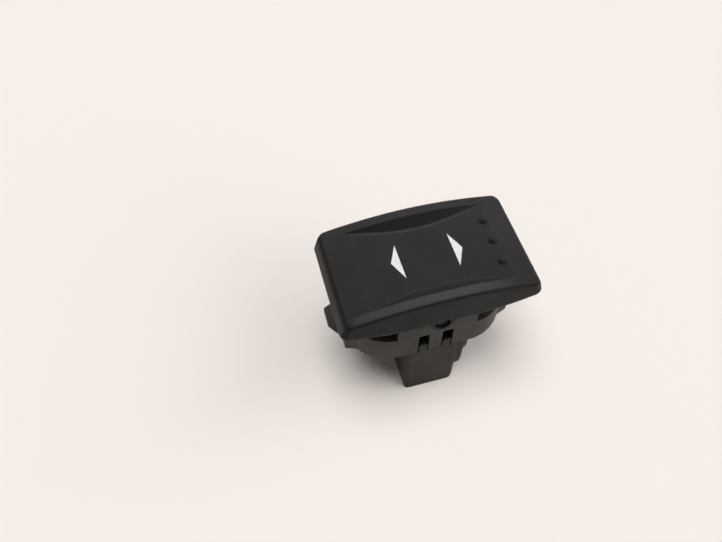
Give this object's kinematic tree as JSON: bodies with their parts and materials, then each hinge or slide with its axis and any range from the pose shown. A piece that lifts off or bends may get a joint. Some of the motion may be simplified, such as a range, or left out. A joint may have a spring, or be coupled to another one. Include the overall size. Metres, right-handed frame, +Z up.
{
  "type": "window switch",
  "caption": "Rocker window switch for a vehicle door: arched rocker cap with arrow symbols and bumps on an oval clip-in housing, with contacts and a plug socket below.",
  "frame": {"origin": "centre of the part's box in plan, at the mouth of the plug socket, on which it stands", "axes": "+Z up through the rocker cap, +X along the cap to the end with the raised bumps, -Y to the front"},
  "size_m": [0.0512, 0.0284, 0.0481],
  "materials": {
    "cap_plastic": "fine grained black",
    "symbol_plastic": "translucent white",
    "housing_plastic": "moulded black",
    "base_plastic": "moulded black",
    "plunger_plastic": "natural acetal",
    "copper_alloy": "stamped copper alloy",
    "spring_steel": "drawn wire",
    "terminal_brass": "stamped, tin bright",
    "contact_silver": "silver rivet",
    "board_laminate": "green laminate",
    "lamp_plastic": "white lamp body",
    "resistor_ceramic": "black chip"
  },
  "bodies": {
    "body": {"housing": "housing_plastic", "base": "base_plastic", "terminal_left_front": "terminal_brass", "terminal_left_back": "terminal_brass", "terminal_right_front": "terminal_brass", "terminal_right_back": "terminal_brass", "terminal_lamp_left": "terminal_brass", "terminal_lamp_right": "terminal_brass", "fixed_contact_left_front": "contact_silver", "fixed_contact_left_back": "contact_silver", "fixed_contact_right_front": "contact_silver", "fixed_contact_right_back": "contact_silver", "lamp_board": "board_laminate", "lamp": "lamp_plastic", "resistor": "resistor_ceramic", "return_spring_left": "spring_steel", "return_spring_right": "spring_steel"},
    "rocker": {"rocker_cap": "cap_plastic", "symbol_insert": "symbol_plastic"},
    "left_contact": {"plunger_left": "plunger_plastic", "contact_bridge_left": "copper_alloy"},
    "right_contact": {"plunger_right": "plunger_plastic", "contact_bridge_right": "copper_alloy"}
  },
  "joints": [
    {"name": "rocker_tilt", "type": "hinge", "parent": "body", "child": "rocker", "pos_m": [0, 0, 0.03756], "axis": [0, 1, 0], "range_deg": [-7, 7], "stiffness_Nm_per_rad": 0.4},
    {"name": "left_plunger_slide", "type": "slide", "parent": "body", "child": "left_contact", "axis": [0, 0, 1], "range_m": [-0.00142, 0.00142], "deforming": ["return_spring_left"]},
    {"name": "right_plunger_slide", "type": "slide", "parent": "body", "child": "right_contact", "axis": [0, 0, 1], "range_m": [-0.00142, 0.00142], "deforming": ["return_spring_right"]}
  ],
  "couplings": [
    {"joint": "left_plunger_slide", "follows": "rocker_tilt", "m_per_rad": 0.0115},
    {"joint": "right_plunger_slide", "follows": "rocker_tilt", "m_per_rad": -0.0115}
  ]
}
